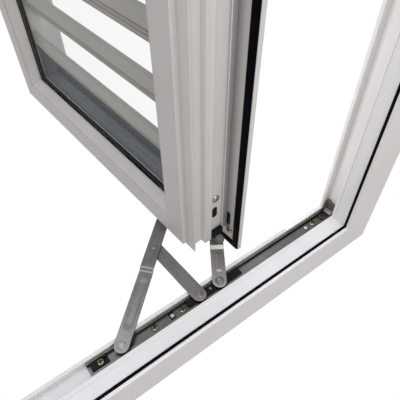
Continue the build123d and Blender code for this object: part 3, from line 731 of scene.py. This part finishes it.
for name, makePart, finish in (("flangeScrewHeads", crossHead, "yellowZinc"),
                               ("flangeScrewRecesses", crossShadePlate, "recessDark")):
    part = makePart((0, 0), 0.0, stile["flangeShare"])
    putScrews(name, [onFlange(part, stile["flangeInset"], height) for height in stile["flangeScrews"]],
              finish, "sash")
# black plates on the flange: painted shade for the dark patches at the drain slots
points, faces = gather([onFlange(slotShadePlate("drain"), stile["flangeInset"] - stile["drainShift"], height)
                        for height in stile["drains"]])
putPiece("drainSlots", points, faces, "blackNylon", "sash", weighted=False)
print("screws made")

# small fittings of the stay
def softBlock(low, high, radius):
    # a box whose upright edges are rounded in plan
    (x0, y0, z0), (x1, y1, z1) = low, high
    line = softOutline([(x0, y0), (x1, y0), (x1, y1), (x0, y1)], radius)
    loops = [np.column_stack([line, np.full(len(line), z)]) for z in (z0, z1)]
    return sweepBetween(*loops)


def bothStays(name, parts, finish, body, replaced=(), place=asIs):
    # the piece at the sill and its mirror image at the head
    points, faces = gather(withHead(parts))
    putPiece(name, place(points), faces, finish, body, replaced, weighted=False)


fittings = {
    "stop": {
        "at": -0.0230, "post": 0.0024, "plate": (0.0036, 0.0052), "rise": 0.0019, "plateRise": 0.0004,
        "plateCorner": 0.0003, "postCorner": 0.0005,
    },
    "spareHole": {"at": 0.2162, "profile": [(0, 0.1), (2.5, 0.1), (2.5, -0.6), (0, -0.6)]},
    "peg": {"at": 0.0372, "half": 0.0018, "low": 0.0490, "high": 0.0499, "corner": 0.0004},
    "cap": {"innerFront": 0.2538, "outerFront": 0.2594, "back": 0.2674, "inner": 0.0043, "outer": 0.0234,
            "low": 0.0482, "top": 0.0672, "middle": 0.0585, "half": 0.0010, "nose": 0.0070, "corner": 0.003},
    "tip": {"start": 0.2510, "end": 0.2656, "half": 0.0065, "low": 0.0572, "rise": 0.0100, "corner": 0.0042},
    "key": {"low": (0.2506, 0.0085, 0.0640), "high": (0.2570, 0.0241, 0.0768), "corner": 0.0006},
}
line = screw["line"]
floorLevel = levels["trackFloor"]


def squareOnLine(at, halves, low, high, corner):
    # a block centred on the track's line at one place along it
    near, far = (at - halves[0], line - halves[1], low), (at + halves[0], line + halves[1], high)
    return softBlock(near, far, corner)


stop, peg, hole = fittings["stop"], fittings["peg"], fittings["spareHole"]
bothStays("trackStopPlates", [squareOnLine(stop["at"], stop["plate"], floorLevel,
                                           floorLevel + stop["plateRise"], stop["plateCorner"])],
          "blackNylon", "root")
bothStays("trackStopPosts", [squareOnLine(stop["at"], (stop["post"], stop["post"]), floorLevel,
                                          floorLevel + stop["rise"], stop["postCorner"])],
          "plainZinc", "root")
bothStays("spareHoles", [turned(hole["profile"], (hole["at"], line), floorLevel, 32)], "coatAlongSill",
          "root")
bothStays("sliderPegs", [squareOnLine(peg["at"], (peg["half"], peg["half"]), peg["low"], peg["high"],
                                      peg["corner"])], "steelPlain", "sliders")


def endCap(cap):
    # a strip bent round three sides in plan. Its top rises at each end as a quarter circle and sags between
    a = np.linspace(0, pi / 2, 8)
    s = np.linspace(0, 1, 14)[:-1]
    straightEnd = cap["back"] - cap["corner"]
    wide = cap["outer"] - cap["inner"]
    halves = []
    for front in (cap["innerFront"], cap["outerFront"]):
        halves.append((
            np.concatenate([front + (straightEnd - front) * s, straightEnd + cap["corner"] * np.sin(a)]),
            np.concatenate([np.zeros(13), cap["corner"] * (1 - np.cos(a))]),
        ))
    x = np.concatenate([halves[0][0], halves[1][0][::-1]])
    y = np.concatenate([cap["inner"] + halves[0][1], cap["outer"] - halves[1][1][::-1]])
    run = np.concatenate([[0], np.cumsum(np.hypot(np.diff(x), np.diff(y)))])
    fromEnd = np.minimum(run, run[-1] - run)
    nose = np.clip(fromEnd / cap["nose"], 0, 1)
    mid = 1 - np.clip((run[-1] / 2 - fromEnd) / (wide / 2), 0, 1)
    top = cap["low"] + 0.001 + (cap["top"] - cap["low"] - 0.001) * np.sqrt(1 - (1 - nose) ** 2)
    top = top - (cap["top"] - cap["middle"]) * mid * mid * (3 - 2 * mid)
    nx, ny = np.gradient(y), -np.gradient(x)
    size = np.hypot(nx, ny)
    nx, ny = nx / size, ny / size
    b = np.linspace(0, pi, 9)
    side = np.concatenate([[1.0], np.cos(b), [-1.0]]) * cap["half"]
    lift = np.concatenate([[-1.0], np.sin(b), [-1.0]])
    z = np.where(lift[None, :] < 0, cap["low"], (top - cap["half"])[:, None] + lift[None, :] * cap["half"])
    gx = x[:, None] + nx[:, None] * side[None, :]
    gy = y[:, None] + ny[:, None] * side[None, :]
    faces = gridFaces(len(x), len(side))
    faces += [list(range(len(side))), list(range((len(x) - 1) * len(side), len(x) * len(side)))]
    return np.stack([gx, gy, z], axis=-1).reshape(-1, 3), faces


def barTip(tip):
    # a thumb shape: half width shrinks round the far corners, and the crown falls off as a fourth power
    x = np.concatenate([np.linspace(tip["start"], tip["end"] - tip["corner"], 10)[:-1],
                        tip["end"] - tip["corner"] + tip["corner"] * np.sin(np.linspace(0, pi / 2, 12))])
    over = np.clip((x - (tip["end"] - tip["corner"])) / tip["corner"], 0, 1)
    half = tip["half"] - tip["corner"] * (1 - np.sqrt(1 - over ** 2))
    v = np.sin(np.linspace(-pi / 2, pi / 2, 26))
    along = (x - tip["start"]) / (tip["end"] - tip["start"])
    crown = tip["rise"] * (0.30 + 0.70 * np.sqrt(np.clip(1 - along ** 2.6, 0, 1)))
    gx = np.repeat(x[:, None], len(v), axis=1)
    gy = half[:, None] * v[None, :]
    top = tip["low"] + crown[:, None] * (0.25 + 0.75 * np.sqrt(1 - np.abs(v[None, :]) ** 4))
    over = np.stack([gx, gy + line, top], axis=-1)
    under = np.stack([gx, gy + line, np.full_like(gx, tip["low"])], axis=-1)[:, ::-1]
    rings = np.concatenate([over, under], axis=1)
    count = rings.shape[1]
    faces = gridFaces(len(x), count)
    faces += [list(range(count)), list(range((len(x) - 1) * count, len(x) * count))]
    return rings.reshape(-1, 3), faces


bothStays("endCaps", [endCap(fittings["cap"])], "steelCap", "root", ("track_end_caps",))
bothStays("barTips", [barTip(fittings["tip"])], "greyNylon", "sash", ("sash_bar_tips",),
          openSash)
key = fittings["key"]
bothStays("cornerKeys", [softBlock(key["low"], key["high"], key["corner"])], "blackNylon", "sash",
          ("corner_blocks",), openSash)
print("small fittings made")

# finishes for the nodes that keep their own mesh
nodeFinishes = {
    "steelTrack": ("lower_track", "upper_track"),
    "steelSashBar": ("lower_sash_bar", "upper_sash_bar", "lock_strip"),
    "steelPlain": ("sash_bar_rivets", "lock_pins"),
    "blackNylon": ("track_end_blocks", "lower_slider", "upper_slider", "setting_blocks"),
    "plainZinc": (
        "lock_keepers", "frame_corner_cleats", "sash_corner_cleats", "lock_case", "handle_spindle",
    ),
    "clearPane": ("glass_pane",),
    "satinHandle": ("handle_lever", "handle_base"),
}
for finish, names in nodeFinishes.items():
    for name in names:
        for materialSlot in frame["nodes"][name].material_slots:
            materialSlot.material = finishes[finish]
print("node finishes set")

# stage
studio = {
    "floorSize": 12.0, "floorDrop": 0.0005,
    "floorBounce": (0.50, 0.495, 0.49), "worldTone": (0.36, 0.36, 0.375),
    "lamps": {
        "topPanel": {"at": (0.3, 0.3, 2.2), "size": (2.2, 2.2), "power": 34.0, "turn": (0, 0, 0),
                     "tint": (0.93, 0.97, 1.08)},
        "leftPanel": {"at": (-1.3, -0.30, 0.6), "size": (0.8, 0.8), "power": 1.8, "turn": (75, 0, -75),
                      "tint": (1.05, 1.0, 0.93)},
        "frontPanel": {"at": (0.5, -2.0, 1.3), "size": (1.4, 1.2), "power": 14.0, "turn": (63, 0, 12),
                       "tint": (1.04, 1.0, 0.95)},
        "nearPanel": {"at": (0.0, -0.30, 0.62), "size": (0.32, 0.32), "power": 0.3, "turn": (44, 0, -42),
                      "tint": (0.98, 1.0, 1.03)},
        "gapPanel": {"at": (0.185, 0.05, 0.42), "size": (0.05, 0.75), "power": 0.16, "turn": (90, 0, -90),
                     "tint": (0.98, 1.0, 1.0)},
    },
}


def whiteToCamera(tree, shaderKind, surface, tone):
    # plain white where the camera sees it, and a softer tone in the light that it gives
    tree.nodes.clear()
    out = tree.nodes.new(surface)
    path = tree.nodes.new("ShaderNodeLightPath")
    choose = tree.nodes.new("ShaderNodeMixShader")
    tree.links.new(path.outputs["Is Camera Ray"], choose.inputs["Fac"])
    for socket, colour in ((1, tone), (2, (1, 1, 1))):
        shade = tree.nodes.new(shaderKind)
        shade.inputs["Color"].default_value = (*colour, 1)
        tree.links.new(shade.outputs[0], choose.inputs[socket])
    tree.links.new(choose.outputs["Shader"], out.inputs["Surface"])


floorMesh = bpy.data.meshes.new("paleFloor")
reach, drop = studio["floorSize"] / 2, -studio["floorDrop"]
corners = [(-reach, -reach, drop), (reach, -reach, drop), (reach, reach, drop), (-reach, reach, drop)]
floorMesh.from_pydata(corners, [], [(0, 1, 2, 3)])
floor = bpy.data.objects.new("paleFloor", floorMesh)
bpy.context.scene.collection.objects.link(floor)
floorFinish = bpy.data.materials.new("paleFloorFinish")
floorFinish.use_nodes = True
whiteToCamera(floorFinish.node_tree, "ShaderNodeEmission", "ShaderNodeOutputMaterial", studio["floorBounce"])
floorMesh.materials.append(floorFinish)

world = bpy.data.worlds.new("studio")
world.use_nodes = True
whiteToCamera(world.node_tree, "ShaderNodeBackground", "ShaderNodeOutputWorld", studio["worldTone"])
bpy.context.scene.world = world

for name, lamp in studio["lamps"].items():
    light = bpy.data.lights.new(name, "AREA")
    light.shape = "RECTANGLE"
    light.size, light.size_y = lamp["size"]
    light.energy = lamp["power"]
    light.color = lamp["tint"]
    holder = bpy.data.objects.new(name, light)
    holder.location = lamp["at"]
    holder.rotation_euler = [radians(a) for a in lamp["turn"]]
    holder.visible_camera = False
    bpy.context.scene.collection.objects.link(holder)

# camera
view = {
    "at": (-0.1401, -0.208, 0.536), "right": (0.8048, -0.5935, -0.0071), "up": (0.4431, 0.5928, 0.6725),
    "back": (-0.3950, -0.5444, 0.7400), "lens": 37.84, "sensor": 36.0,
}
cameraData = bpy.data.cameras.new("camera")
cameraData.lens = view["lens"]
cameraData.sensor_width = view["sensor"]
cameraData.clip_start = 0.01
camera = bpy.data.objects.new("camera", cameraData)
axes = Matrix((view["right"], view["up"], view["back"])).transposed().to_4x4()
camera.matrix_world = Matrix.Translation(view["at"]) @ axes
bpy.context.scene.collection.objects.link(camera)
bpy.context.scene.camera = camera
bpy.context.scene.view_settings.view_transform = "Standard"
print("stage and camera made")
